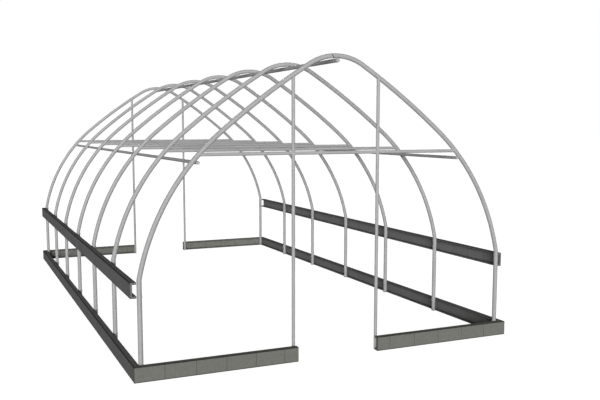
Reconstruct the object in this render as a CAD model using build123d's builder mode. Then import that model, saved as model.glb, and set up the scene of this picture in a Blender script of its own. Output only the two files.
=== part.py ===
"""Gothic arch greenhouse frame: bent tube hoops on channel base rails, open at both ends.

Millimetres, +Z up, front towards -Y, origin on the ground in the middle of the frame.
Each hoop is two bent halves that meet beside the peak. Purlins run along the inside of
the hoops, ties and posts are saddle cut to the tubes they meet, and the base rails are
mitred where the sides meet the ends.
"""
import math
import os

from build123d import *

# Hoops: spacing along the frame and the shape of the bent tube
hoop_count = 7
hoop_spacing = 1219.2
hoop_diameter = 48.3
leg_spread = 4072.0
leg_height = 938.0
eave_radius = 110.0
eave_lean = 11.4
arch_radius = 2350.0
rafter_lean = 52.9
crown_radius = 695.0
crown_joint_offset = 55.0

# Straight tubes: purlins, ties and the posts beside each doorway
tube_diameter = 34.9
ridge_diameter = 41.3
purlin_height = 2022.0
tie_height = 2098.0
post_setback = 3.0

# Channel rails: the base rails stand on the ground, the hip rails run along the eaves
rail_height = 152.4
rail_depth = 60.5
rail_wall = 22.0
rail_bend_radius = 4.0
hip_rail_height = 776.0
hip_rail_setback = 11.0
doorway_width = 914.4

# Flats around each tube, and the clearance between a tube and whatever it bears on
tube_sides = 10
seat_gap = 0.3

# Places that follow from the sizes above
hoop_radius = hoop_diameter / 2
tube_radius = tube_diameter / 2
ridge_radius = ridge_diameter / 2
leg_x = leg_spread / 2
end_hoop_y = hoop_spacing * (hoop_count - 1) / 2
tube_reach = end_hoop_y + hoop_radius
hoop_corner_radius = hoop_radius / math.cos(math.pi / tube_sides)
outer_x = leg_x + hoop_radius + seat_gap + rail_depth
outer_y = end_hoop_y + hoop_corner_radius + seat_gap + rail_depth
doorway_x = doorway_width / 2
post_x = doorway_x + post_setback + tube_radius

# Hoop centre line from the leg to the peak, on the right-hand side
eave_angle = math.radians(eave_lean)
rafter_angle = math.radians(rafter_lean)
arch_x = leg_x - eave_radius * (1 - math.cos(eave_angle)) - arch_radius * math.cos(eave_angle)
arch_z = leg_height + (eave_radius - arch_radius) * math.sin(eave_angle)
rafter_x = arch_x + arch_radius * math.cos(rafter_angle)
rafter_z = arch_z + arch_radius * math.sin(rafter_angle)
crown_x = crown_radius * math.cos(rafter_angle)
rafter_length = (rafter_x - crown_x) / math.sin(rafter_angle)
crown_z = rafter_z + rafter_length * math.cos(rafter_angle)
peak_z = crown_z + crown_radius * (1 - math.sin(rafter_angle))
joint_turn = math.degrees(math.asin(crown_joint_offset / crown_radius))

LEFT, RIGHT = -1, 1
FRONT, BACK = -1, 1
SIDE_NAMES = {LEFT: "left", RIGHT: "right"}
END_NAMES = {FRONT: "front", BACK: "back"}


def hoop_x_at(height, inset=0):
    """Half width of the hoop at a height, measured to a line set in from its centre line."""
    inner_radius = arch_radius - inset
    arch_top = arch_z + inner_radius * math.sin(rafter_angle)
    if height <= arch_top:
        return arch_x + math.sqrt(inner_radius ** 2 - (height - arch_z) ** 2)
    return arch_x + inner_radius * math.cos(rafter_angle) - (height - arch_top) * math.tan(rafter_angle)


def hoop_z_at(x):
    """Height of the hoop's centre line over a point beside the middle."""
    if x <= crown_x:
        return peak_z - crown_radius + math.sqrt(crown_radius ** 2 - x ** 2)
    if x <= rafter_x:
        return rafter_z + (rafter_x - x) / math.tan(rafter_angle)
    return arch_z + math.sqrt(arch_radius ** 2 - (x - arch_x) ** 2)


def tube_section(radius, facing=0):
    """Tube section whose flats lie on a circle, one of them facing the given direction."""
    RegularPolygon(radius, tube_sides, major_radius=False, rotation=facing + 180 / tube_sides)


def hoop_half(side, station, radius):
    """Bent tube from the ground to the joint, which lies a little left of the peak."""
    crown_turn = 90 - rafter_lean + side * joint_turn
    with BuildPart() as half:
        with BuildLine(Plane.XZ.offset(-station)):
            leg = Line((side * leg_x, 0), (side * leg_x, leg_height))
            eave = JernArc(leg @ 1, leg % 1, eave_radius, side * eave_lean)
            arch = JernArc(eave @ 1, eave % 1, arch_radius, side * (rafter_lean - eave_lean))
            rafter = PolarLine(arch @ 1, rafter_length, direction=arch % 1)
            JernArc(rafter @ 1, rafter % 1, crown_radius, side * crown_turn)
        with BuildSketch(Plane.XY):
            with Locations((side * leg_x, station)):
                tube_section(radius)
        sweep()
    return half


def lengthwise_tube(x, height, radius, facing):
    """Straight tube along the frame, its ends level with the outer faces of the end hoops."""
    with BuildPart() as tube:
        with BuildSketch(Plane.XZ.offset(tube_reach)):
            with Locations((x, height)):
                tube_section(radius, facing)
        extrude(amount=-2 * tube_reach)
    return tube


def upright(side, station, radius, top):
    """Straight vertical tube beside a doorway, from the ground to a given height."""
    with BuildPart() as tube:
        with BuildSketch(Plane.XY):
            with Locations((side * post_x, station)):
                tube_section(radius)
        extrude(amount=top)
    return tube


def post(side, station):
    """Doorway post whose top is saddle cut to the underside of the end hoop."""
    hoop = hoop_half(side, station, hoop_radius + seat_gap)
    full = upright(side, station, tube_radius, hoop_z_at(post_x))
    with BuildPart() as cut:
        add(full.part)
        add(hoop.part, mode=Mode.SUBTRACT)
    return cut


def tie(station, start_x, end_x, neighbours):
    """Level tube across a hoop, saddle cut to the tubes that it runs between."""
    with BuildPart() as bar:
        with BuildSketch(Plane.YZ.offset(start_x)):
            with Locations((station, tie_height)):
                tube_section(tube_radius)
        extrude(amount=end_x - start_x)
        for neighbour in neighbours:
            add(neighbour.part, mode=Mode.SUBTRACT)
    return bar


def rail(corner, inward, run, length, mitre_start, mitre_end):
    """Channel with its open side inwards, from a bottom outer corner along its run."""
    base = Plane(origin=corner, x_dir=inward, z_dir=run)
    with BuildPart() as channel:
        with BuildSketch(base) as section:
            Rectangle(rail_depth, rail_height, align=Align.MIN)
            with Locations((rail_wall, rail_wall)):
                Rectangle(rail_depth, rail_height - 2 * rail_wall, align=Align.MIN, mode=Mode.SUBTRACT)
            fillet(section.vertices().group_by(Axis.X)[0], rail_bend_radius)
        extrude(amount=length)
        if mitre_start:
            split(bisect_by=Plane(origin=corner, z_dir=base.z_dir - base.x_dir))
        if mitre_end:
            far_corner = base.origin + base.z_dir * length
            split(bisect_by=Plane(origin=far_corner, z_dir=-base.z_dir - base.x_dir))
    return channel


def save(piece, name):
    """Label a finished piece and write it out."""
    piece.part.label = name
    export_step(piece.part, f"parts/{name}.step")


os.makedirs("parts", exist_ok=True)

# Hoops, numbered from the front, and the ties of those between the two ends
for number in range(hoop_count):
    hoop_y = number * hoop_spacing - end_hoop_y
    for side, side_name in SIDE_NAMES.items():
        save(hoop_half(side, hoop_y, hoop_radius), f"hoop_{number + 1}_{side_name}")
    if 0 < number < hoop_count - 1:
        hoops = [hoop_half(side, hoop_y, hoop_radius + seat_gap) for side in SIDE_NAMES]
        tie_end = hoop_x_at(tie_height)
        save(tie(hoop_y, -tie_end, tie_end, hoops), f"tie_{number + 1}")

# End frames: two posts beside the doorway and a tie in three lengths between them
for end, end_name in END_NAMES.items():
    end_y = end * end_hoop_y
    hoops = [hoop_half(side, end_y, hoop_radius + seat_gap) for side in SIDE_NAMES]
    posts = [upright(side, end_y, tube_radius + seat_gap, peak_z) for side in SIDE_NAMES]
    tie_end = hoop_x_at(tie_height)
    for side, side_name in SIDE_NAMES.items():
        save(post(side, end_y), f"{end_name}_{side_name}_post")
    save(tie(end_y, -tie_end, -post_x, [hoops[0], posts[0]]), f"{end_name}_left_tie")
    save(tie(end_y, -post_x, post_x, posts), f"{end_name}_middle_tie")
    save(tie(end_y, post_x, tie_end, [hoops[1], posts[1]]), f"{end_name}_right_tie")

# Purlins along the inside of the hoops and the ridge under their crowns
purlin_x = hoop_x_at(purlin_height, hoop_radius + seat_gap + tube_radius)
purlin_facing = min(math.degrees(math.atan2(purlin_height - arch_z, purlin_x - arch_x)), rafter_lean)
ridge_height = peak_z - hoop_radius - seat_gap - ridge_radius
for side, side_name in SIDE_NAMES.items():
    facing = 90 + side * (purlin_facing - 90)
    save(lengthwise_tube(side * purlin_x, purlin_height, tube_radius, facing), f"{side_name}_purlin")
save(lengthwise_tube(0, ridge_height, ridge_radius, 90), "ridge_purlin")

# Side rails: mitred base rails outside the legs and square hip rails above them
hip_reach = end_hoop_y - hip_rail_setback
for side, side_name in SIDE_NAMES.items():
    inward = (-side, 0, 0)
    along = (0, side, 0)
    base_corner = (side * outer_x, -side * outer_y, 0)
    hip_corner = (side * outer_x, -side * hip_reach, hip_rail_height)
    save(rail(base_corner, inward, along, 2 * outer_y, True, True), f"{side_name}_base_rail")
    save(rail(hip_corner, inward, along, 2 * hip_reach, False, False), f"{side_name}_hip_rail")

# End rails: one each side of the doorway, mitred at the corner and square at the doorway
end_rail_length = outer_x - doorway_x
for end, end_name in END_NAMES.items():
    inward = (0, -end, 0)
    across = (-end, 0, 0)
    first, second = (LEFT, RIGHT) if end == FRONT else (RIGHT, LEFT)
    first_corner = (first * outer_x, end * outer_y, 0)
    second_corner = (second * doorway_x, end * outer_y, 0)
    first_name = f"{end_name}_{SIDE_NAMES[first]}_base_rail"
    second_name = f"{end_name}_{SIDE_NAMES[second]}_base_rail"
    save(rail(first_corner, inward, across, end_rail_length, True, False), first_name)
    save(rail(second_corner, inward, across, end_rail_length, False, True), second_name)
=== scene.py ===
"""Looks of the gothic arch greenhouse frame: round galvanised tubes, welded joints and dark channel rails.

Every length is in metres, +Z is up and the front doorway faces -Y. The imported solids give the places,
and each class here works its surfaces out as whole numpy arrays around them.
"""

import logging
import math
from dataclasses import dataclass, field
from enum import Enum

import bpy
import numpy as np
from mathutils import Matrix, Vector


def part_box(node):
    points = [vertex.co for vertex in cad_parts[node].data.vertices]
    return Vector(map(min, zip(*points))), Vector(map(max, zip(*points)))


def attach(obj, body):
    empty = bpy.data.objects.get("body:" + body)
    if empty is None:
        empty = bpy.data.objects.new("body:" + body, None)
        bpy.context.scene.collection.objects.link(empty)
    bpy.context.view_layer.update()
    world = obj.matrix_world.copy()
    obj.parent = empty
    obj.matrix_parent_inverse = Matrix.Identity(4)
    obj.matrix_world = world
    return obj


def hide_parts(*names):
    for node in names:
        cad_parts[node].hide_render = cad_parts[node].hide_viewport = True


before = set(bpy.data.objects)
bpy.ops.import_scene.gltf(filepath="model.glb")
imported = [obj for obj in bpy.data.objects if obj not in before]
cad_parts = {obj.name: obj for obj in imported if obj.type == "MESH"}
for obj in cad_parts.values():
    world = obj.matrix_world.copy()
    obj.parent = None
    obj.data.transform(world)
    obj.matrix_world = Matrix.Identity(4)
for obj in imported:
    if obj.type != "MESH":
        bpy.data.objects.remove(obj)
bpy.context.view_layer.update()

Array = np.ndarray
Colour = tuple[float, float, float]
Range = tuple[float, float]
Feed = bpy.types.NodeSocket | float | tuple[float, ...]

LOG = logging.getLogger("greenhouse")
BODY = "root"
FULL_TURN = 2 * math.pi
QUARTER_TURN = FULL_TURN / 4
ACROSS = np.array([1.0, 0.0, 0.0])
ALONG = np.array([0.0, 1.0, 0.0])
UP = np.array([0.0, 0.0, 1.0])

# Sizes of the solids that their boxes don't give
HOOP_DIAMETER = 0.0483
CROWN_JOINT_OFFSET = 0.055
RAIL_WALL = 0.022

# Room kept between the hoops and the box of the solids
HAIR = 0.0002

# Rings at each eased end of a rail
END_RINGS = 4

# Shading breaks at edges sharper than this
SHARP_ANGLE = math.radians(18)

# White of the surroundings, and how rough every soft noise is
WHITE = (1.0, 1.0, 1.0, 1.0)
NOISE_ROUGHNESS = 0.55

# Places of the colour sockets on a Mix node
MIX_FACTOR, MIX_FIRST, MIX_SECOND, MIX_RESULT = 0, 6, 7, 2


class Side(Enum):
    """Left or right of the frame, seen from the front."""

    LEFT = -1
    RIGHT = 1


class End(Enum):
    """Front or back of the frame."""

    FRONT = -1
    BACK = 1


class Slot(Enum):
    """Material slots of the record."""

    TUBE = "tube"
    RAIL = "rail"


class Closing(Enum):
    """How the two ends of a lofted skin are closed."""

    FAN = "triangles to a middle point"
    FLAT = "one flat face"
    LOOP = "the last ring joins the first"


@dataclass
class Skin:
    """A closed surface as whole arrays.

    Attributes:
        points: Vertices, one row each.
        faces: Blocks of faces, all of a block with as many corners.
        corner_uv: For each block, the place around and along the surface of every corner, in metres.
        seam: For each vertex, 1 in a joint, on a worn edge or at a rim, and 0 elsewhere.
        panel: For each vertex, a tone between 0 and 1 of the panel that it lies on.
        shelter: For each vertex, 1 on the inner faces of a channel, where painted fill light makes the
            colour paler to cancel the shade of the recess, and 0 elsewhere.
    """

    points: Array
    faces: list[Array]
    corner_uv: list[Array]
    seam: Array = field(default_factory=lambda: np.zeros(0))
    panel: Array = field(default_factory=lambda: np.zeros(0))
    shelter: Array = field(default_factory=lambda: np.zeros(0))

    def volume(self) -> float:
        """Signed volume: the sum of the tetrahedra from the origin to each face, fanned into triangles.

        Returns:
            The volume, negative if the faces point inwards.
        """
        total = 0.0
        for block in self.faces:
            corners = self.points[block]
            first, second, third = corners[:, :1], corners[:, 1:-1], corners[:, 2:]
            total += float(np.sum(first * np.cross(second, third))) / 6
        return total

    def outward(self) -> "Skin":
        """Turn the faces outwards, by the sign of the volume.

        Returns:
            The same skin.
        """
        if self.volume() < 0:
            self.faces = [block[:, ::-1] for block in self.faces]
            self.corner_uv = [block[:, ::-1] for block in self.corner_uv]
        return self

    @staticmethod
    def joined(skins: list["Skin"]) -> "Skin":
        """One skin that holds several.

        Args:
            skins: Surfaces that stay apart in the joined mesh.

        Returns:
            Their points and faces, one after another.
        """
        starts = np.cumsum([0] + [len(skin.points) for skin in skins[:-1]])
        return Skin(
            points=np.concatenate([skin.points for skin in skins]),
            faces=[block + start for skin, start in zip(skins, starts) for block in skin.faces],
            corner_uv=[block for skin in skins for block in skin.corner_uv],
        )


def even_angles(count: int) -> Array:
    """Even angles once round."""
    return np.arange(count) * FULL_TURN / count


def unit(vectors: Array) -> Array:
    """Rows of vectors, each brought to a length of 1."""
    return vectors / np.linalg.norm(vectors, axis=1, keepdims=True)


def lengths_along(points: Array) -> Array:
    """Length along a row of points, from 0 at the first."""
    steps = np.linalg.norm(np.diff(points, axis=0), axis=1)
    return np.concatenate([[0.0], np.cumsum(steps)])


def circles(centres: Array, first: Array, second: Array, radii: Array, around: int) -> Array:
    """Circles about a row of centres.

    A point is the centre plus the radius times (cos a times the first direction plus sin a times
    the second), with a going once round.

    Args:
        centres: Middles of the circles.
        first: Vectors towards the start of each circle, longer than 1 where it slants.
        second: Unit vectors a quarter turn on.
        radii: Radius of each circle.
        around: Points on each circle.

    Returns:
        Points by circle, by place around and by axis.
    """
    angle = even_angles(around)[None, :, None]
    spokes = np.cos(angle) * first[:, None, :] + np.sin(angle) * second[:, None, :]
    return centres[:, None, :] + radii[:, None, None] * spokes


def loft(rings: Array, along: Array, closing: Closing) -> Skin:
    """Skin through a row of closed rings.

    Each face joins the neighbours j and j + 1 of ring i to those of ring i + 1. The surface
    coordinates are the length along the row and the distance around the middle ring.

    Args:
        rings: Points by ring, by place around and by axis.
        along: Length along the row at each ring.
        closing: How the two ends are closed.

    Returns:
        The closed skin, with its faces outwards.
    """
    count, around = rings.shape[:2]
    girth = float(np.linalg.norm(np.diff(rings[count // 2], axis=0), axis=1).sum())
    rows = count if closing is Closing.LOOP else count - 1
    i, j = np.meshgrid(np.arange(rows), np.arange(around), indexing="ij")
    i, j = i.ravel(), j.ravel()
    after_i, after_j = (i + 1) % count, (j + 1) % around
    quads = np.stack([i * around + j, i * around + after_j, after_i * around + after_j,
                      after_i * around + j], axis=1)
    turn = np.stack([j, j + 1, j + 1, j], axis=1) * girth / around
    reach = np.append(along, along[-1] + along[1] - along[0])
    run = np.stack([reach[i], reach[i], reach[i + 1], reach[i + 1]], axis=1)
    points = rings.reshape(-1, 3)
    faces, corner_uv = [quads], [np.stack([turn, run], axis=2)]
    place = np.arange(around)
    after = (place + 1) % around
    last = (count - 1) * around
    if closing is Closing.FLAT:
        for cap, length in ((place[::-1], along[0]), (last + place, along[-1])):
            faces.append(cap[None, :])
            flat_uv = np.stack([cap % around * girth / around, np.full(around, length)], axis=1)
            corner_uv.append(flat_uv[None, :, :])
    if closing is Closing.FAN:
        poles = len(points) + np.arange(2)
        points = np.concatenate([points, rings[[0, -1]].mean(axis=1)])
        for pole, one, two, length in ((poles[0], after, place, along[0]),
                                       (poles[1], last + place, last + after, along[-1])):
            faces.append(np.stack([np.full(around, pole), one, two], axis=1))
            spread = np.stack([place + 0.5, place, place + 1], axis=1) * girth / around
            corner_uv.append(np.stack([spread, np.full((around, 3), length)], axis=2))
    return Skin(points, faces, corner_uv).outward()


def tube(centres: Array, normals: Array, binormals: Array, radii: Array, around: int) -> Skin:
    """Round tube: circles of the given radii, carried along a path and closed by a fan at both ends."""
    rings = circles(centres, normals, binormals, radii, around)
    return loft(rings, lengths_along(centres), Closing.FAN)


class Wiring:
    """A node tree, with short calls that add nodes and link them."""

    def __init__(self, tree: bpy.types.NodeTree) -> None:
        """Keep the tree's nodes and links at hand."""
        self.nodes = tree.nodes
        self.links = tree.links

    def feed(self, socket: bpy.types.NodeSocket, value: Feed) -> None:
        """Link a socket to another node's output, or set its own value.

        Args:
            socket: Input of a node.
            value: Output of another node, or a plain value.
        """
        if isinstance(value, bpy.types.NodeSocket):
            self.links.new(value, socket)
        else:
            socket.default_value = value

    def add(self, kind: str, inputs: dict[str | int, Feed], **settings: object) -> bpy.types.Node:
        """Add a node.

        Args:
            kind: Blender's name for the node's type.
            inputs: Values or links by the name or the place of the socket.
            **settings: Properties of the node itself.

        Returns:
            The new node.
        """
        node = self.nodes.new(kind)
        for key, value in settings.items():
            setattr(node, key, value)
        for key, value in inputs.items():
            self.feed(node.inputs[key], value)
        return node

    def combine(self, one: Feed, two: Feed, operation: str, clamp: bool = False) -> bpy.types.NodeSocket:
        """Two values put together by a sum, a product or the like."""
        node = self.add("ShaderNodeMath", {0: one, 1: two}, operation=operation, use_clamp=clamp)
        return node.outputs["Value"]


class Shader(Wiring):
    """A material's node tree, with short calls for what the finishes share."""

    def __init__(self, name: str) -> None:
        """Start a material with its plain surface shader.

        Args:
            name: Name of the material.
        """
        self.material = bpy.data.materials.new(name)
        self.material.use_nodes = True
        super().__init__(self.material.node_tree)
        self.surface = self.nodes["Principled BSDF"]

    def noise(self, vector: Feed, scale: float, detail: float) -> bpy.types.NodeSocket:
        """Soft noise between 0 and 1 at so many blots a metre."""
        inputs = {"Vector": vector, "Scale": scale, "Detail": detail, "Roughness": NOISE_ROUGHNESS}
        return self.add("ShaderNodeTexNoise", inputs).outputs["Fac"]

    def spread(self, value: Feed, ends: Range) -> bpy.types.NodeSocket:
        """A value from 0 to 1 spread evenly between two others."""
        inputs = {"Value": value, "To Min": ends[0], "To Max": ends[1]}
        return self.add("ShaderNodeMapRange", inputs).outputs["Result"]

    def attribute(self, name: str) -> bpy.types.NodeSocket:
        """One of the piece's own attributes, by name."""
        return self.add("ShaderNodeAttribute", {}, attribute_name=name).outputs["Fac"]

    def weighted(self, *parts: tuple[Feed, float]) -> bpy.types.NodeSocket:
        """Sum of several values, each times its share.

        Args:
            *parts: Pairs of a value and its share.

        Returns:
            The sum.
        """
        total, *others = (self.combine(value, share, "MULTIPLY") for value, share in parts)
        for other in others:
            total = self.combine(total, other, "ADD")
        return total

    def ramp(self, value: Feed, low: Colour, high: Colour) -> bpy.types.NodeSocket:
        """A colour between two others by a value from 0 to 1.

        Args:
            value: Place between the two.
            low: Colour at 0.
            high: Colour at 1.

        Returns:
            The colour.
        """
        node = self.add("ShaderNodeValToRGB", {"Fac": value})
        node.color_ramp.elements[0].color = (*low, 1.0)
        node.color_ramp.elements[1].color = (*high, 1.0)
        return node.outputs["Color"]

    def seamed(self, colour: Feed, seam_colour: Colour) -> bpy.types.NodeSocket:
        """A colour that goes over to another where the piece's own seam attribute is 1."""
        inputs = {MIX_FACTOR: self.attribute("seam"), MIX_FIRST: colour, MIX_SECOND: (*seam_colour, 1.0)}
        return self.add("ShaderNodeMix", inputs, data_type="RGBA").outputs[MIX_RESULT]

    def dress(self, inputs: dict[str, Feed]) -> None:
        """Feed the surface shader's own sockets by name."""
        for key, value in inputs.items():
            self.feed(self.surface.inputs[key], value)

    def bump(self, height: Feed, strength: float, depth: float) -> None:
        """Raise the surface a little by a height from 0 to 1."""
        inputs = {"Height": height, "Strength": strength, "Distance": depth}
        self.dress({"Normal": self.add("ShaderNodeBump", inputs).outputs["Normal"]})


@dataclass(frozen=True)
class GalvanisedFinish:
    """Hot-dip zinc on drawn tube: grey grains, soft clouds and faint streaks along the tube."""

    name: str = "galvanised_tube"
    dark: Colour = (0.33, 0.332, 0.335)
    light: Colour = (0.53, 0.53, 0.528)
    seam_colour: Colour = (0.12, 0.12, 0.12)
    metal: float = 0.04
    specular: float = 0.01
    edge_tint: tuple[float, float, float, float] = (0.4, 0.4, 0.4, 1.0)
    grains_per_metre: float = 150.0
    grain_share: float = 0.3
    clouds_per_metre: float = 5.0
    cloud_detail: float = 3.0
    cloud_share: float = 0.45
    streaks_around: float = 260.0
    streaks_along: float = 2.0
    streak_detail: float = 2.0
    streak_share: float = 0.25
    roughness: Range = (0.50, 0.58)
    bump_strength: float = 0.08
    bump_depth: float = 0.0003

    def material(self) -> bpy.types.Material:
        """Grain, cloud and streak tones are averaged into the colour, and the grains set the gloss.

        Returns:
            The new material.
        """
        shader = Shader(self.name)
        coords = shader.add("ShaderNodeTexCoord", {}).outputs
        grain_inputs = {"Vector": coords["Object"], "Scale": self.grains_per_metre}
        grains = shader.add("ShaderNodeTexVoronoi", grain_inputs).outputs["Color"]
        tone = shader.add("ShaderNodeSeparateColor", {"Color": grains}).outputs["Red"]
        clouds = shader.noise(coords["Object"], self.clouds_per_metre, self.cloud_detail)
        stretch = {"Vector": coords["UV"], "Scale": (self.streaks_around, self.streaks_along, 1.0)}
        drawn = shader.add("ShaderNodeMapping", stretch).outputs["Vector"]
        streaks = shader.noise(drawn, 1.0, self.streak_detail)
        mixed = shader.weighted(
            (tone, self.grain_share), (clouds, self.cloud_share), (streaks, self.streak_share))
        zinc = shader.ramp(mixed, self.dark, self.light)
        shader.dress({
            "Base Color": shader.seamed(zinc, self.seam_colour),
            "Roughness": shader.spread(tone, self.roughness), "Metallic": self.metal,
            "Specular IOR Level": self.specular, "Specular Tint": self.edge_tint})
        shader.bump(streaks, self.bump_strength, self.bump_depth)
        return shader.material


@dataclass(frozen=True)
class WeldFinish:
    """Cold zinc paint over a weld: duller and a shade darker than the tube."""

    name: str = "zinc_painted_weld"
    dark: Colour = (0.30, 0.30, 0.295)
    light: Colour = (0.46, 0.46, 0.455)
    metal: float = 0.3
    blots_per_metre: float = 160.0
    blot_detail: float = 4.0
    roughness: Range = (0.55, 0.75)
    bump_strength: float = 0.3
    bump_depth: float = 0.0006

    def material(self) -> bpy.types.Material:
        """One fine noise sets the tone, the gloss and the grain of the paint.

        Returns:
            The new material.
        """
        shader = Shader(self.name)
        coords = shader.add("ShaderNodeTexCoord", {}).outputs["Object"]
        blots = shader.noise(coords, self.blots_per_metre, self.blot_detail)
        shader.dress({
            "Base Color": shader.ramp(blots, self.dark, self.light),
            "Roughness": shader.spread(blots, self.roughness), "Metallic": self.metal})
        shader.bump(blots, self.bump_strength, self.bump_depth)
        return shader.material


@dataclass(frozen=True)
class ScrewFinish:
    """Bright zinc plate on the screws, a little cloudy."""

    name: str = "zinc_plated_screw"
    dark: Colour = (0.42, 0.42, 0.42)
    light: Colour = (0.58, 0.58, 0.575)
    metal: float = 0.7
    blots_per_metre: float = 300.0
    blot_detail: float = 2.0
    roughness: Range = (0.32, 0.48)

    def material(self) -> bpy.types.Material:
        """One noise sets both the tone and the gloss.

        Returns:
            The new material.
        """
        shader = Shader(self.name)
        coords = shader.add("ShaderNodeTexCoord", {}).outputs["Object"]
        blots = shader.noise(coords, self.blots_per_metre, self.blot_detail)
        shader.dress({
            "Base Color": shader.ramp(blots, self.dark, self.light),
            "Roughness": shader.spread(blots, self.roughness), "Metallic": self.metal})
        return shader.material


@dataclass(frozen=True)
class RailFinish:
    """Dull dark grey rail: mottled, made paler inside the channel by painted fill light against the shade
    there, dark in joints and on worn edges.
    """

    name: str
    dark: Colour
    light: Colour
    seam_colour: Colour = (0.035, 0.035, 0.033)
    specular: float = 0.0
    blots_per_metre: float = 38.0
    blot_detail: float = 5.0
    blot_share: float = 0.5
    specks_per_metre: float = 240.0
    speck_detail: float = 2.0
    speck_share: float = 0.4
    panel_share: float = 0.1
    # Painted fill light: how much paler the inner faces of the channel are made, to cancel the shade of the
    # recess
    painted_fill_share: float = 0.23
    roughness: Range = (0.58, 0.78)
    bump_strength: float = 0.25
    bump_depth: float = 0.0006

    def material(self) -> bpy.types.Material:
        """Blots, specks and panel tones are averaged, the inner faces of the channel get painted fill light
        against their shade, and seams go dark.

        Returns:
            The new material.
        """
        shader = Shader(self.name)
        coords = shader.add("ShaderNodeTexCoord", {}).outputs["Object"]
        blots = shader.noise(coords, self.blots_per_metre, self.blot_detail)
        specks = shader.noise(coords, self.specks_per_metre, self.speck_detail)
        mixed = shader.weighted(
            (blots, self.blot_share), (specks, self.speck_share),
            (shader.attribute("panel"), self.panel_share), (shader.attribute("shelter"), self.painted_fill_share))
        paint = shader.ramp(mixed, self.dark, self.light)
        shader.dress({
            "Base Color": shader.seamed(paint, self.seam_colour),
            "Roughness": shader.spread(blots, self.roughness), "Specular IOR Level": self.specular})
        shader.bump(specks, self.bump_strength, self.bump_depth)
        return shader.material


@dataclass(frozen=True)
class Finishes:
    """The materials of the whole frame, made once."""

    tube: bpy.types.Material
    weld: bpy.types.Material
    screw: bpy.types.Material
    end_rail: bpy.types.Material
    side_rail: bpy.types.Material

    @staticmethod
    def make() -> "Finishes":
        """Make every finish's material.

        Returns:
            The materials. The end rails are a little greener than the side rails.
        """
        end_rail = RailFinish(
            name="dull_grey_end_rail", dark=(0.115, 0.117, 0.105), light=(0.265, 0.269, 0.242))
        side_rail = RailFinish(
            name="dull_grey_side_rail", dark=(0.115, 0.115, 0.114), light=(0.265, 0.265, 0.262))
        return Finishes(
            tube=GalvanisedFinish().material(), weld=WeldFinish().material(),
            screw=ScrewFinish().material(), end_rail=end_rail.material(), side_rail=side_rail.material())


def make_piece(name: str, skin: Skin, material: bpy.types.Material,
               stands_for: str = "") -> None:
    """Put a skin into the scene as a piece of the frame and report it.

    Args:
        name: Name of the piece.
        skin: Its surface, already in place.
        material: Its finish.
        stands_for: Solid that the piece replaces, if any.
    """
    mesh = bpy.data.meshes.new(name)
    mesh.from_pydata(skin.points.tolist(), [], [row for block in skin.faces for row in block.tolist()])
    layer = mesh.uv_layers.new(name="surface")
    layer.data.foreach_set("uv", np.concatenate([block.ravel() for block in skin.corner_uv]))
    for label, values in (("seam", skin.seam), ("panel", skin.panel), ("shelter", skin.shelter)):
        if len(values):
            attribute = mesh.attributes.new(label, "FLOAT", "POINT")
            attribute.data.foreach_set("value", values.astype(np.float32))
    mesh.materials.append(material)
    mesh.shade_smooth()
    mesh.set_sharp_from_angle(angle=SHARP_ANGLE)
    piece = bpy.data.objects.new(name, mesh)
    bpy.context.scene.collection.objects.link(piece)
    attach(piece, BODY)
    if stands_for:
        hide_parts(stands_for)
    LOG.info("%s: %d points, %d faces", name, len(mesh.vertices), len(mesh.polygons))


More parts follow.
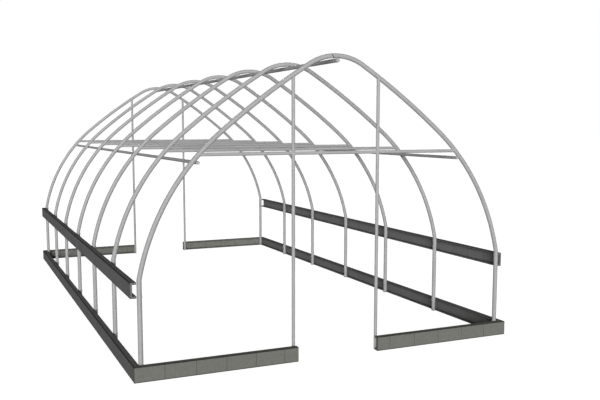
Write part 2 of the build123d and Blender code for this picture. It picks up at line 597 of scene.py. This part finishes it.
@dataclass(frozen=True)
class HoopLine:
    """Centre line of a hoop, on its right-hand side, by how far it leans from upright.

    The leg stands upright, an eave bend starts the lean, a long arch goes on to the rafter, the
    rafter is bowed a little, and a tight crown turns over the peak.
    """

    leg_x: float
    peak_z: float
    leg_height: float = 0.938
    eave_radius: float = 0.110
    eave_lean: float = math.radians(11.4)
    arch_radius: float = 2.350
    arch_lean: float = math.radians(50.0)
    bow_radius: float = 8.0
    eave_steps: int = 6
    arch_steps: int = 44
    bow_steps: int = 12
    crown_steps: int = 22

    @property
    def eave_centre(self) -> tuple[float, float]:
        """Middle of the eave bend, level with the top of the leg."""
        return self.leg_x - self.eave_radius, self.leg_height

    @property
    def arch_centre(self) -> tuple[float, float]:
        """Middle of the long arch, in line with the eave's middle and the place where they meet.

        Returns:
            Its x and z.
        """
        x = self.leg_x - self.eave_radius * (1 - math.cos(self.eave_lean))
        z = self.leg_height + self.eave_radius * math.sin(self.eave_lean)
        radius = self.arch_radius
        return x - radius * math.cos(self.eave_lean), z - radius * math.sin(self.eave_lean)

    @property
    def bow_centre(self) -> tuple[float, float]:
        """Middle of the rafter's bow, in line with the arch's middle and the place where they meet.

        Returns:
            Its x and z.
        """
        x, z = self.arch_centre
        beyond = self.bow_radius - self.arch_radius
        return x - beyond * math.cos(self.arch_lean), z - beyond * math.sin(self.arch_lean)

    @property
    def crown_radius(self) -> float:
        """Radius of the crown, which lies under the peak and runs into the bow.

        Its middle is as far from the bow's middle as the two radii differ. That distance is the sum
        of the squares of the bow's setback and of its rise above the peak, over twice the rise.

        Returns:
            The radius.
        """
        x, z = self.bow_centre
        rise = z + self.bow_radius - self.peak_z
        return self.bow_radius - (x * x + rise * rise) / (2 * rise)

    @property
    def crown_centre(self) -> tuple[float, float]:
        """Middle of the crown, straight under the peak."""
        return 0.0, self.peak_z - self.crown_radius

    @property
    def crown_lean(self) -> float:
        """Lean at which the bow ends and the crown starts."""
        return math.acos(-self.bow_centre[0] / (self.bow_radius - self.crown_radius))

    def trace(self, past_peak: float) -> tuple[Array, Array, Array]:
        """Centre line from the ground to a turn past the peak.

        On each arc the place is the arc's middle plus its radius times (cos lean, sin lean), and the
        straight leg only needs its ends.

        Args:
            past_peak: Turn beyond the upright through the peak, negative if short of it.

        Returns:
            The x, the z and the lean at each point.
        """
        arcs = (
            np.linspace(0, self.eave_lean, self.eave_steps + 1),
            np.linspace(self.eave_lean, self.arch_lean, self.arch_steps + 1)[1:],
            np.linspace(self.arch_lean, self.crown_lean, self.bow_steps + 1)[1:],
            np.linspace(self.crown_lean, QUARTER_TURN + past_peak, self.crown_steps + 1)[1:])
        counts = [len(arc) for arc in arcs]
        lean = np.concatenate(arcs)
        centres = np.array([self.eave_centre, self.arch_centre, self.bow_centre, self.crown_centre])
        x, z = np.repeat(centres, counts, axis=0).T
        radius = np.repeat([self.eave_radius, self.arch_radius, self.bow_radius, self.crown_radius], counts)
        x = np.append(self.leg_x, x + radius * np.cos(lean))
        z = np.append(0.0, z + radius * np.sin(lean))
        return x, z, np.append(0.0, lean)

    def inner_x(self, height: Array, offset: Array) -> Array:
        """Half width at heights on the arch, to a circle about its middle that is set in by the offset."""
        arch_x, arch_z = self.arch_centre
        return arch_x + np.sqrt((self.arch_radius - offset) ** 2 - (height - arch_z) ** 2)

    def bow_z(self, x: Array, offset: Array) -> Array:
        """Height at places across the bow, to a circle about its middle that is set in by the offset."""
        bow_x, bow_z = self.bow_centre
        return bow_z + np.sqrt((self.bow_radius - offset) ** 2 - (x - bow_x) ** 2)


@dataclass(frozen=True)
class Layout:
    """Places of the tubes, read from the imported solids."""

    hoop_radius: float
    tube_radius: float
    ridge_radius: float
    line: HoopLine
    hoop_stations: tuple[float, ...]
    tie_z: float
    post_x: float
    purlin_x: float
    purlin_z: float
    ridge_z: float
    reach: float
    joint_turn: float

    @staticmethod
    def middle(node: str) -> Vector:
        """Middle of a solid's box."""
        low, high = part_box(node)
        return (low + high) / 2

    @staticmethod
    def read() -> "Layout":
        """Work the places out from the boxes of the solids.

        Returns:
            The places.
        """
        count = sum(name.startswith("hoop_") and name.endswith("_left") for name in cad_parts)
        low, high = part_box("tie_2")
        tube_radius = (high.y - low.y) / 2
        low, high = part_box("ridge_purlin")
        ridge_radius, reach = (high.z - low.z) / 2, high.y
        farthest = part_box("hoop_1_right")[1]
        line = HoopLine(leg_x=farthest.x - HOOP_DIAMETER / 2, peak_z=farthest.z - HOOP_DIAMETER / 2)
        purlin = Layout.middle("right_purlin")
        return Layout(
            hoop_radius=HOOP_DIAMETER / 2 - HAIR, tube_radius=tube_radius, ridge_radius=ridge_radius,
            line=line, hoop_stations=tuple(Layout.middle(f"hoop_{n + 1}_left").y for n in range(count)),
            tie_z=Layout.middle("tie_2").z, post_x=Layout.middle("front_right_post").x,
            purlin_x=purlin.x, purlin_z=purlin.z, ridge_z=Layout.middle("ridge_purlin").z,
            reach=reach, joint_turn=math.asin(CROWN_JOINT_OFFSET / line.crown_radius))


@dataclass(frozen=True)
class Hoops:
    """The bent hoops, each in two halves that meet a little left of the peak."""

    layout: Layout
    around: int = 36
    rim: float = 0.0012
    spigot_length: float = 0.005
    spigot_step: float = 0.0026
    seam_width: float = 0.009
    seam_tone: float = 0.8
    joint_slant: float = 0.5
    open_joint: int = 1

    def half(self, side: Side, station: float, opened: bool) -> Skin:
        """One half: a circle carried along the centre line.

        The circles of an open joint slant over more and more from the start of the crown, by a share
        of the height above the centre line.

        Args:
            side: Which half.
            station: Place of the hoop along the frame.
            opened: Whether the joint shows as a fine groove or is closed.

        Returns:
            The tube from the ground to the joint. At an open joint the left half ends in a spigot
            and the right one in an eased rim.
        """
        x, z, lean = self.layout.line.trace(side.value * self.layout.joint_turn)
        radius = self.layout.hoop_radius
        heading = np.stack([-np.sin(lean), np.cos(lean)], axis=1)
        middle = np.stack([x, z], axis=1)
        spigot = side is Side.LEFT
        back_off = self.spigot_length if spigot else self.rim
        narrow = radius - float(opened) * (self.spigot_step if spigot else self.rim)
        eased_foot = middle[:1] + heading[:1] * self.rim
        clean_end = middle[-1:] - heading[-1:] * self.seam_width
        before_end = middle[-1:] - heading[-1:] * back_off
        tip = np.concatenate([clean_end, before_end, before_end, middle[-1:]])
        path = np.concatenate([middle[:1], eased_foot, middle[1:-1], tip])
        turned = np.concatenate([lean[:1], lean[:1], lean[1:-1], np.repeat(lean[-1:], len(tip))])
        count = len(path)
        radii = np.full(count, radius)
        radii[0] = radius - self.rim
        radii[-1] = narrow
        radii[-2] = narrow if spigot else radius
        centres = np.stack([side.value * path[:, 0], np.full(count, station), path[:, 1]], axis=1)
        normals = np.stack([side.value * np.cos(turned), np.zeros(count), np.sin(turned)], axis=1)
        crown = self.layout.line.crown_lean
        slant = float(opened) * self.joint_slant * np.clip((turned - crown) / (turned[-1] - crown), 0, 1)
        normals[:, 0] -= slant * np.sin(turned)
        normals[:, 2] += side.value * slant * np.cos(turned)
        skin = tube(centres, normals, np.tile(ALONG, (count, 1)), radii, self.around)
        dark = np.zeros(count)
        dark[1 - len(tip):] = float(opened) * self.seam_tone
        skin.seam = np.append(np.repeat(dark, self.around), [0.0, 0.0])
        return skin

    def build(self, finishes: Finishes) -> None:
        """Make and dress both halves of every hoop.

        Args:
            finishes: The materials.
        """
        for number, station in enumerate(self.layout.hoop_stations, start=1):
            for side in Side:
                node = f"hoop_{number}_{side.name.lower()}"
                skin = self.half(side, station, number == self.open_joint)
                make_piece(f"{node}_tube", skin, finishes.tube, node)


@dataclass(frozen=True)
class Purlins:
    """The two purlins and the ridge tube, straight lengths with flat eased ends."""

    layout: Layout
    around: int = 32
    rim: float = 0.0015

    def straight(self, x: float, z: float, radius: float) -> Skin:
        """A round tube along the frame: circles about a line, narrower by the rim at both ends.

        Args:
            x: Place of its middle across the frame.
            z: Height of its middle.
            radius: Its radius.

        Returns:
            The tube.
        """
        reach, eased = self.layout.reach, radius - self.rim
        y = np.array([-reach, -reach + self.rim, reach - self.rim, reach])
        radii = np.array([eased, radius, radius, eased])
        count = len(y)
        centres = np.stack([np.full(count, x), y, np.full(count, z)], axis=1)
        return tube(centres, np.tile(ACROSS, (count, 1)), np.tile(UP, (count, 1)), radii, self.around)

    def build(self, finishes: Finishes) -> None:
        """Make and dress the three lengthwise tubes.

        Args:
            finishes: The materials.
        """
        layout = self.layout
        for side in Side:
            node = f"{side.name.lower()}_purlin"
            skin = self.straight(side.value * layout.purlin_x, layout.purlin_z, layout.tube_radius)
            make_piece(f"{node}_tube", skin, finishes.tube, node)
        ridge = self.straight(0.0, layout.ridge_z, layout.ridge_radius)
        make_piece("ridge_purlin_tube", ridge, finishes.tube, "ridge_purlin")


@dataclass(frozen=True)
class Bracing:
    """Level ties and doorway posts, saddle cut to the tubes that they meet and welded round each cut."""

    layout: Layout
    around: int = 48
    weld_radius: float = 0.0032
    weld_points: int = 120
    weld_ripples: int = 26
    weld_ripple_share: float = 0.1
    weld_around: int = 8

    def round_tie(self, points: int) -> tuple[Array, Array]:
        """Places round a tie: y is its radius times sin a, and z its height plus the radius times cos a."""
        angle, layout = even_angles(points), self.layout
        return layout.tube_radius * np.sin(angle), layout.tie_z + layout.tube_radius * np.cos(angle)

    def hoop_saddle(self, side: Side, station: float, points: int) -> Array:
        """Curve where a tie meets a hoop.

        Round the tie, the hoop's inner face lies the root of its radius squared less y squared inside
        its centre line.

        Args:
            side: Which half of the hoop.
            station: Place of the hoop along the frame.
            points: Points on the curve.

        Returns:
            The closed curve.
        """
        layout = self.layout
        y, z = self.round_tie(points)
        x = layout.line.inner_x(z, np.sqrt(layout.hoop_radius ** 2 - y ** 2))
        return np.stack([side.value * x, station + y, z], axis=1)

    def post_saddle(self, side: Side, facing: Side, station: float, points: int) -> Array:
        """Curve where a tie meets a post.

        Round the tie, the post's face lies the root of its radius squared less y squared from the
        post's middle.

        Args:
            side: Which post.
            facing: The side of the post that the tie is on.
            station: Place of the post along the frame.
            points: Points on the curve.

        Returns:
            The closed curve.
        """
        layout = self.layout
        y, z = self.round_tie(points)
        depth = np.sqrt(np.maximum(layout.tube_radius ** 2 - y ** 2, 0.0))
        x = side.value * layout.post_x + facing.value * depth
        return np.stack([x, station + y, z], axis=1)

    def rafter_saddle(self, side: Side, station: float, points: int) -> Array:
        """Curve where a post meets the underside of a hoop's rafter.

        Round the post, x is its place plus its radius times the cosine of the angle and y its radius
        times the sine, and the rafter's inner face gives the height.

        Args:
            side: Which post.
            station: Place of the post along the frame.
            points: Points on the curve.

        Returns:
            The closed curve.
        """
        angle, layout = even_angles(points), self.layout
        x = layout.post_x + layout.tube_radius * np.cos(angle)
        y = layout.tube_radius * np.sin(angle)
        z = layout.line.bow_z(x, np.sqrt(layout.hoop_radius ** 2 - y ** 2))
        return np.stack([side.value * x, station + y, z], axis=1)

    def between(self, start: Array, end: Array) -> Skin:
        """Tube between two curves: straight lines join the points at the same angle."""
        length = float(np.linalg.norm(end.mean(axis=0) - start.mean(axis=0)))
        return loft(np.stack([start, end]), np.array([0.0, length]), Closing.FAN)

    def weld(self, curve: Array, axis: Array) -> Skin:
        """Weld bead: a small rippled circle carried along a saddle curve.

        The circle stands square to the curve. Its radius is the bead's times 1 plus a share of the
        sine of the ripples' angle.

        Args:
            curve: Points of the closed curve.
            axis: Unit vector along the tube that the curve goes round.

        Returns:
            The bead as a closed ring.
        """
        tangent = unit(np.roll(curve, -1, axis=0) - np.roll(curve, 1, axis=0))
        out = unit(axis - (tangent @ axis)[:, None] * tangent)
        ripple = np.sin(self.weld_ripples * even_angles(len(curve)))
        swell = self.weld_radius * (1 + self.weld_ripple_share * ripple)
        rings = circles(curve, out, np.cross(tangent, out), swell, self.weld_around)
        return loft(rings, lengths_along(curve), Closing.LOOP)

    def build_middle(self, finishes: Finishes) -> None:
        """Ties of the hoops between the two ends, and their welds.

        Args:
            finishes: The materials.
        """
        for number, station in list(enumerate(self.layout.hoop_stations, start=1))[1:-1]:
            node = f"tie_{number}"
            left, right = (self.hoop_saddle(side, station, self.around) for side in Side)
            make_piece(f"{node}_tube", self.between(left, right), finishes.tube, node)
            curves = (self.hoop_saddle(side, station, self.weld_points) for side in Side)
            welds = [self.weld(curve, ACROSS) for curve in curves]
            make_piece(f"{node}_welds", Skin.joined(welds), finishes.weld)

    def post(self, side: Side, station: float) -> Skin:
        """Doorway post from the ground to the curve under the rafter.

        Args:
            side: Which side of the doorway.
            station: Place of the post along the frame.

        Returns:
            The post.
        """
        top = self.rafter_saddle(side, station, self.around)
        foot = top.copy()
        foot[:, 2] = 0.0
        return self.between(foot, top)

    def build_end(self, end: End, station: float, finishes: Finishes) -> None:
        """Posts, the tie in three lengths, and the welds of one end frame.

        Args:
            end: Which end.
            station: Place of its hoop along the frame.
            finishes: The materials.
        """
        name = end.name.lower()
        welds = []
        for side in Side:
            outer, inner = side, Side(-side.value)
            node = f"{name}_{side.name.lower()}_post"
            make_piece(f"{node}_tube", self.post(side, station), finishes.tube, node)
            node = f"{name}_{side.name.lower()}_tie"
            at_hoop = self.hoop_saddle(side, station, self.around)
            at_post = self.post_saddle(side, outer, station, self.around)
            make_piece(f"{node}_tube", self.between(at_post, at_hoop), finishes.tube, node)
            welds.append(self.weld(self.hoop_saddle(side, station, self.weld_points), ACROSS))
            welds.append(self.weld(self.rafter_saddle(side, station, self.weld_points), UP))
            for facing in (outer, inner):
                curve = self.post_saddle(side, facing, station, self.weld_points)
                welds.append(self.weld(curve, ACROSS))
        start = self.post_saddle(Side.LEFT, Side.RIGHT, station, self.around)
        finish = self.post_saddle(Side.RIGHT, Side.LEFT, station, self.around)
        node = f"{name}_middle_tie"
        make_piece(f"{node}_tube", self.between(start, finish), finishes.tube, node)
        make_piece(f"{name}_frame_welds", Skin.joined(welds), finishes.weld)

    def build(self, finishes: Finishes) -> None:
        """Make and dress all ties, posts and welds.

        Args:
            finishes: The materials.
        """
        self.build_middle(finishes)
        stations = self.layout.hoop_stations
        for end, station in zip(End, (stations[0], stations[-1])):
            self.build_end(end, station, finishes)


@dataclass(frozen=True)
class Screws:
    """Hex screws with washer faces, from inside through the purlins and through the legs into the rails."""

    layout: Layout
    washer_radius: float = 0.0075
    washer_height: float = 0.0012
    washer_edge_share: float = 0.6
    head_radius: float = 0.0048
    head_height: float = 0.0052
    head_edge_share: float = 0.9
    head_top_share: float = 0.86
    sunk: float = 0.0006
    around: int = 12

    def pattern(self) -> tuple[Array, Array]:
        """Rings of one screw head, on its own axis.

        The washer is a circle. The head is a hexagon: its flats' distance over the cosine of the
        angle from the nearest flat. The radius shrinks a little at the top edge.

        Returns:
            Rings by place along the axis, by place around and by axis, and the height of each ring.
        """
        angle = even_angles(self.around)
        sixth = FULL_TURN / 6
        hexagon = self.head_radius / np.cos((angle + sixth / 2) % sixth - sixth / 2)
        circle = np.full(self.around, self.washer_radius)
        radius = np.stack([circle, circle, hexagon, hexagon, hexagon * self.head_top_share])
        washer_edge = self.washer_height * self.washer_edge_share
        head_edge = self.head_height * self.head_edge_share
        height = np.array([-self.sunk, washer_edge, self.washer_height, head_edge, self.head_height])
        rings = np.stack([radius * np.cos(angle), radius * np.sin(angle),
                          np.repeat(height[:, None], self.around, axis=1)], axis=2)
        return rings, height

    def placed(self, seats: Array, axes: Array) -> Skin:
        """Screws at many seats: the pattern carried into each seat's own three directions.

        Args:
            seats: Points on the surfaces under the washers.
            axes: Unit vectors out of those surfaces.

        Returns:
            All the screws in one skin.
        """
        rings, height = self.pattern()
        first = unit(np.cross(axes, ALONG))
        basis = np.stack([first, np.cross(axes, first), axes], axis=1)
        heads = seats[:, None, None, :] + np.einsum("ras,nsk->nrak", rings, basis)
        return Skin.joined([loft(head, height, Closing.FAN) for head in heads])

    def purlin_seats(self) -> tuple[Array, Array]:
        """Seats on the inner side of the purlins and under the ridge, at every hoop.

        Returns:
            The seats and the unit vectors out of them.
        """
        layout = self.layout
        arch_x, arch_z = layout.line.arch_centre
        away = np.array([layout.purlin_x - arch_x, layout.purlin_z - arch_z])
        away /= np.linalg.norm(away)
        seats, axes = [], []
        for side in Side:
            inward = np.array([-side.value * away[0], 0.0, -away[1]])
            purlin = np.array([side.value * layout.purlin_x, 0.0, layout.purlin_z])
            seats.append(purlin + inward * layout.tube_radius)
            axes.append(inward)
        seats.append(UP * (layout.ridge_z - layout.ridge_radius))
        axes.append(-UP)
        stations = np.outer(layout.hoop_stations, ALONG)
        all_seats = (np.array(seats)[:, None, :] + stations[None, :, :]).reshape(-1, 3)
        return all_seats, np.repeat(np.array(axes), len(stations), axis=0)

    def leg_seats(self) -> tuple[Array, Array]:
        """Seats on the inner side of the legs, level with every flange but the one on the ground.

        Returns:
            The seats and the unit vectors out of them.
        """
        layout = self.layout
        heights = []
        for node in ("left_base_rail", "left_hip_rail"):
            low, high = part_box(node)
            heights += [low.z + RAIL_WALL / 2, high.z - RAIL_WALL / 2]
        inner = layout.line.leg_x - layout.hoop_radius
        seats = np.array([[side.value * inner, y, z] for side in Side for y in layout.hoop_stations
                          for z in heights[1:]])
        return seats, np.outer(-np.sign(seats[:, 0]), ACROSS)

    def build(self, finishes: Finishes) -> None:
        """Make and dress both sets of screws."""
        make_piece("purlin_screws", self.placed(*self.purlin_seats()), finishes.screw)
        make_piece("leg_screws", self.placed(*self.leg_seats()), finishes.screw)


@dataclass(frozen=True)
class RailRings:
    """Rings along a rail, from one end to the other.

    Attributes:
        places: Place of each ring along the rail's run.
        insets: How far each ring is drawn in from the full outline.
        tones: Seam tone all round each ring.
        panels: Number of the panel that each ring lies on.
    """

    places: Array
    insets: Array
    tones: Array
    panels: Array


@dataclass(frozen=True)
class Rails:
    """Channel rails with their open side inwards, scored across at an even step."""

    wall: float = RAIL_WALL
    bend_radius: float = 0.004
    corner_radius: float = 0.0015
    corner_steps: int = 5
    joint_step: float = 0.3048
    joint_half_width: float = 0.003
    joint_half_floor: float = 0.0012
    joint_depth: float = 0.0008
    joint_tone: float = 0.7
    edge_width: float = 0.006
    edge_core: float = 0.003
    inner_corners: tuple[int, int] = (3, 4)
    edge_tone: float = 0.85
    most_share: float = 0.45
    end_ease: float = 0.001
    cap_inset: float = 0.004
    least_radius: float = 0.0003
    left_joint_shift: float = 0.061
    clear_of_end: float = 0.06
    seed: int = 11

    @property
    def band_share(self) -> Array:
        """Largest shares of a straight side that a worn edge and its core may take."""
        return np.array([self.most_share, self.most_share * self.edge_core / self.edge_width])

    def section(self, depth: float, height: float, inset: float) -> Array:
        """Outline of the channel, as inward and upward places.

        Each corner is a quarter circle about a point its radius inside the corner: large on the two
        outer bends, small on the other edges. An inset moves each corner into the metal, and takes as
        much from the radius, or adds it in the two inner corners. Two points on each straight side,
        before and after the corner, bound the dark core and the end of the worn edge.

        Args:
            depth: Width from the outer face to the flange tips.
            height: Height over both flanges.
            inset: How far the outline is drawn in.

        Returns:
            The closed outline, by corner, by place along the corner and by axis.
        """
        small, large, wall = self.corner_radius, self.bend_radius, self.wall
        corners = np.array([
            [0, 0, large, large], [depth, 0, -small, small], [depth, wall, -small, -small],
            [wall, wall, small, small], [wall, height - wall, small, -small],
            [depth, height - wall, -small, small], [depth, height, -small, -small],
            [0, height, large, -large]])
        starts = np.array([2, 3, 0, 3, 2, 3, 0, 1]) * QUARTER_TURN
        convex = np.array([1, 1, 1, -1, -1, 1, 1, 1])
        turned = np.linspace(0, QUARTER_TURN, self.corner_steps)
        angle = starts[:, None] + convex[:, None] * turned
        spokes = np.stack([np.cos(angle), np.sin(angle)], axis=2)
        radius = np.maximum(np.abs(corners[:, 2]) - inset * convex, self.least_radius)
        middles = corners[:, :2] + (inset * convex + radius)[:, None] * np.sign(corners[:, 2:])
        arcs = middles[:, None, :] + radius[:, None, None] * spokes
        before, after = np.roll(arcs[:, -1], 1, axis=0), np.roll(arcs[:, 0], -1, axis=0)
        into, out = arcs[:, 0] - before, after - arcs[:, -1]
        bands = np.array([self.edge_width, self.edge_core])
        lead = np.minimum(bands / np.linalg.norm(into, axis=1, keepdims=True), self.band_share)
        tail = np.minimum(bands[::-1] / np.linalg.norm(out, axis=1, keepdims=True), self.band_share[::-1])
        leads = arcs[:, :1] - into[:, None, :] * lead[:, :, None]
        tails = arcs[:, -1:] + out[:, None, :] * tail[:, :, None]
        return np.concatenate([leads, arcs, tails], axis=1)

    def stations(self, start: float, end: float, shift: float) -> RailRings:
        """Rings along a rail: four at each eased end and four at each scored joint, two on its floor.

        Args:
            start: Place of the first end along the frame's axis.
            end: Place of the other end.
            shift: Where the even step starts.

        Returns:
            The rings, from the first end to the other.
        """
        numbers = np.arange(math.ceil((start - shift) / self.joint_step), (end - shift) / self.joint_step)
        joints = numbers * self.joint_step + shift
        joints = joints[(joints > start + self.clear_of_end) & (joints < end - self.clear_of_end)]
        spread = np.array([-self.joint_half_width, -self.joint_half_floor,
                           self.joint_half_floor, self.joint_half_width])
        at_joints = (joints[:, None] + spread).ravel()
        scored = np.tile([0.0, 1.0, 1.0, 0.0], len(joints))
        panels = (np.arange(len(joints))[:, None] + [0, 0, 1, 1]).ravel()
        back_off = np.array([0.0, 0.0, self.end_ease, self.edge_width])
        drawn_in = np.array([self.cap_inset, self.end_ease, 0.0, 0.0])
        worn = np.array([0.0, self.edge_tone, self.edge_tone, 0.0])
        first_panel, last_panel = np.zeros(END_RINGS, dtype=int), np.full(END_RINGS, len(joints))
        return RailRings(
            places=np.concatenate([start + back_off, at_joints, end - back_off[::-1]]),
            insets=np.concatenate([drawn_in, scored * self.joint_depth, drawn_in[::-1]]),
            tones=np.concatenate([worn, scored * self.joint_tone, worn[::-1]]),
            panels=np.concatenate([first_panel, panels, last_panel]))

    def channel(self, node: str, side_rail: bool, outward: int, mitres: tuple[bool, bool],
                shift: float) -> Skin:
        """One rail: the outline carried along its run, sheared at the mitres and drawn in at the joints.

        Args:
            node: Solid that the rail stands for.
            side_rail: True where the rail runs along the frame, False where it runs across.
            outward: Sign of the direction from the open side to the outer face.
            mitres: Whether the first and the last end are cut at half a right angle.
            shift: Where the even step of the joints starts.

        Returns:
            The rail, closed at both ends.
        """
        low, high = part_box(node)
        run, cross = (1, 0) if side_rail else (0, 1)
        depth, height = high[cross] - low[cross], high.z - low.z
        rows = self.stations(low[run], high[run], shift)
        count = len(rows.places)
        sections = np.stack([self.section(depth, height, inset) for inset in rows.insets])
        worn = np.zeros(sections.shape[:3])
        worn[1:-1, :, 1:-1] = self.edge_tone
        worn[:, self.inner_corners] = 0.0
        # Painted fill light: 1 at the two inner corners, so that the inner faces of the channel are made
        # paler against the shade of the recess
        painted_fill_mask = np.zeros(sections.shape[:3])
        painted_fill_mask[1:-1, self.inner_corners] = 1.0
        sections = sections.reshape(count, -1, 2)
        at_end = np.arange(count) < END_RINGS
        shear = float(mitres[0]) * at_end - float(mitres[1]) * at_end[::-1]
        along = rows.places[:, None] + shear[:, None] * sections[:, :, 0]
        outer_face = high[cross] if outward > 0 else low[cross]
        rings = np.empty((*along.shape, 3))
        rings[:, :, run] = along
        rings[:, :, cross] = outer_face - outward * sections[:, :, 0]
        rings[:, :, 2] = low.z + sections[:, :, 1]
        skin = loft(rings, rows.places - rows.places[0], Closing.FLAT)
        tones = np.random.default_rng(self.seed + sum(map(ord, node))).random(rows.panels[-1] + 1)
        skin.seam = np.maximum(rows.tones[:, None], worn.reshape(count, -1)).ravel()
        skin.panel = np.repeat(tones[rows.panels], along.shape[1])
        skin.shelter = painted_fill_mask.ravel()
        return skin

    def build(self, finishes: Finishes) -> None:
        """Make and dress the base rails all round and the two hip rails.

        Args:
            finishes: The materials.
        """
        for side in Side:
            shift = self.left_joint_shift if side is Side.LEFT else 0.0
            for kind, mitred in (("base", True), ("hip", False)):
                node = f"{side.name.lower()}_{kind}_rail"
                skin = self.channel(node, True, side.value, (mitred, mitred), shift)
                make_piece(f"{node}_channel", skin, finishes.side_rail, node)
            for end in End:
                node = f"{end.name.lower()}_{side.name.lower()}_base_rail"
                skin = self.channel(node, False, end.value, (side is Side.LEFT, side is Side.RIGHT), 0.0)
                make_piece(f"{node}_channel", skin, finishes.end_rail, node)


@dataclass(frozen=True)
class Studio:
    """Pale floor, white surroundings, soft light and the camera."""

    floor_reach: float = 60.0
    floor_drop: float = 0.0005
    floor_colour: Colour = (0.55, 0.55, 0.55)
    floor_lift: float = 0.92
    horizon: float = 0.35
    falloff: float = 2.0
    front_strength: float = 3.15
    front_height: float = math.radians(8)
    front_turn: float = math.radians(-22)
    back_strength: float = 2.4
    back_height: float = math.radians(5)
    lamp_spread: float = math.radians(26)
    camera_place: tuple[float, float, float] = (-3.5845, -10.6879, 2.3585)
    camera_pitch: float = math.radians(-6.5409)
    camera_turn: float = math.radians(-24.0485)
    focal_pixels: float = 776.26
    image_width: float = 600.0
    image_height: float = 400.0
    middle_column: float = 296.12
    middle_row: float = 215.58
    sensor: float = 36.0

    def seen_rays(self, wiring: Wiring) -> bpy.types.NodeSocket:
        """Tell the rays that see the background from those that light the frame.

        Args:
            wiring: Node tree that needs to know.

        Returns:
            1 for rays from the camera, mirrors and glass, and 0 for the others.
        """
        rays = wiring.add("ShaderNodeLightPath", {}).outputs
        straight = wiring.combine(rays["Is Camera Ray"], rays["Is Glossy Ray"], "MAXIMUM")
        return wiring.combine(straight, rays["Is Transmission Ray"], "MAXIMUM")

    def surroundings(self) -> None:
        """World that looks white and lights the frame from all round, as pale walls under a dim ceiling do.

        The light falls from the horizon's level by a power of 1 less the sine of the height.
        """
        world = bpy.data.worlds.new("white_surroundings")
        bpy.context.scene.world = world
        world.use_nodes = True
        wiring = Wiring(world.node_tree)
        direction = wiring.add("ShaderNodeTexCoord", {}).outputs["Generated"]
        height = wiring.add("ShaderNodeSeparateXYZ", {"Vector": direction}).outputs["Z"]
        below_top = wiring.combine(1.0, height, "SUBTRACT", clamp=True)
        fallen = wiring.combine(below_top, self.falloff, "POWER")
        lit = wiring.nodes["Background"]
        wiring.feed(lit.inputs["Color"], WHITE)
        wiring.feed(lit.inputs["Strength"], wiring.combine(fallen, self.horizon, "MULTIPLY"))
        seen = wiring.add("ShaderNodeBackground", {"Color": WHITE})
        mix = wiring.add("ShaderNodeMixShader", {
            "Fac": self.seen_rays(wiring), 1: lit.outputs["Background"], 2: seen.outputs["Background"]})
        wiring.feed(wiring.nodes["World Output"].inputs["Surface"], mix.outputs["Shader"])

    def floor(self) -> None:
        """Square floor that looks white where it is lit and still takes the frame's shadow."""
        reach, z = self.floor_reach, -self.floor_drop
        mesh = bpy.data.meshes.new("floor")
        corners = np.array([[-reach, -reach, z], [reach, -reach, z], [reach, reach, z], [-reach, reach, z]])
        mesh.from_pydata(corners.tolist(), [], [[0, 1, 2, 3]])
        material = bpy.data.materials.new("pale_floor")
        material.use_nodes = True
        wiring = Wiring(material.node_tree)
        wiring.nodes.remove(wiring.nodes["Principled BSDF"])
        matt = wiring.add("ShaderNodeBsdfDiffuse", {"Color": (*self.floor_colour, 1.0)})
        lift = wiring.combine(self.seen_rays(wiring), self.floor_lift, "MULTIPLY")
        glow = wiring.add("ShaderNodeEmission", {"Strength": lift})
        both = wiring.add("ShaderNodeAddShader", {0: matt.outputs["BSDF"], 1: glow.outputs["Emission"]})
        wiring.feed(wiring.nodes["Material Output"].inputs["Surface"], both.outputs["Shader"])
        mesh.materials.append(material)
        floor = bpy.data.objects.new("floor", mesh)
        bpy.context.scene.collection.objects.link(floor)

    def lamp(self, name: str, strength: float, height: float, turn: float) -> None:
        """Wide soft light from low down.

        Args:
            name: Name of the lamp.
            strength: Its strength.
            height: How far above the horizon it stands.
            turn: Direction that it shines in, as a turn from straight towards the back.
        """
        light = bpy.data.lights.new(name, "SUN")
        light.energy = strength
        light.angle = self.lamp_spread
        lamp = bpy.data.objects.new(name, light)
        lamp.rotation_euler = (QUARTER_TURN - height, 0.0, turn)
        bpy.context.scene.collection.objects.link(lamp)

    def camera(self) -> None:
        """Camera at the photograph's place, with its middle shifted as the photograph's is."""
        lens = bpy.data.cameras.new("camera")
        lens.sensor_width = self.sensor
        lens.lens = self.focal_pixels / self.image_width * self.sensor
        lens.shift_x = (self.image_width / 2 - self.middle_column) / self.image_width
        lens.shift_y = (self.middle_row - self.image_height / 2) / self.image_width
        camera = bpy.data.objects.new("camera", lens)
        camera.location = self.camera_place
        camera.rotation_euler = (QUARTER_TURN + self.camera_pitch, 0.0, self.camera_turn)
        bpy.context.scene.collection.objects.link(camera)
        bpy.context.scene.camera = camera

    def build(self) -> None:
        """Set the whole studio up."""
        bpy.context.scene.view_settings.view_transform = "Standard"
        self.surroundings()
        self.floor()
        self.lamp("front_light", self.front_strength, self.front_height, self.front_turn)
        self.lamp("back_light", self.back_strength, self.back_height, self.front_turn + math.pi)
        self.camera()


def main() -> None:
    """Build the studio and every sub-assembly of the frame, in order."""
    logging.basicConfig(level=logging.INFO, format="%(message)s")
    Studio().build()
    finishes = Finishes.make()
    layout = Layout.read()
    for assembly in (Hoops(layout), Purlins(layout), Bracing(layout), Screws(layout), Rails()):
        assembly.build(finishes)


if __name__ == "__main__":
    main()
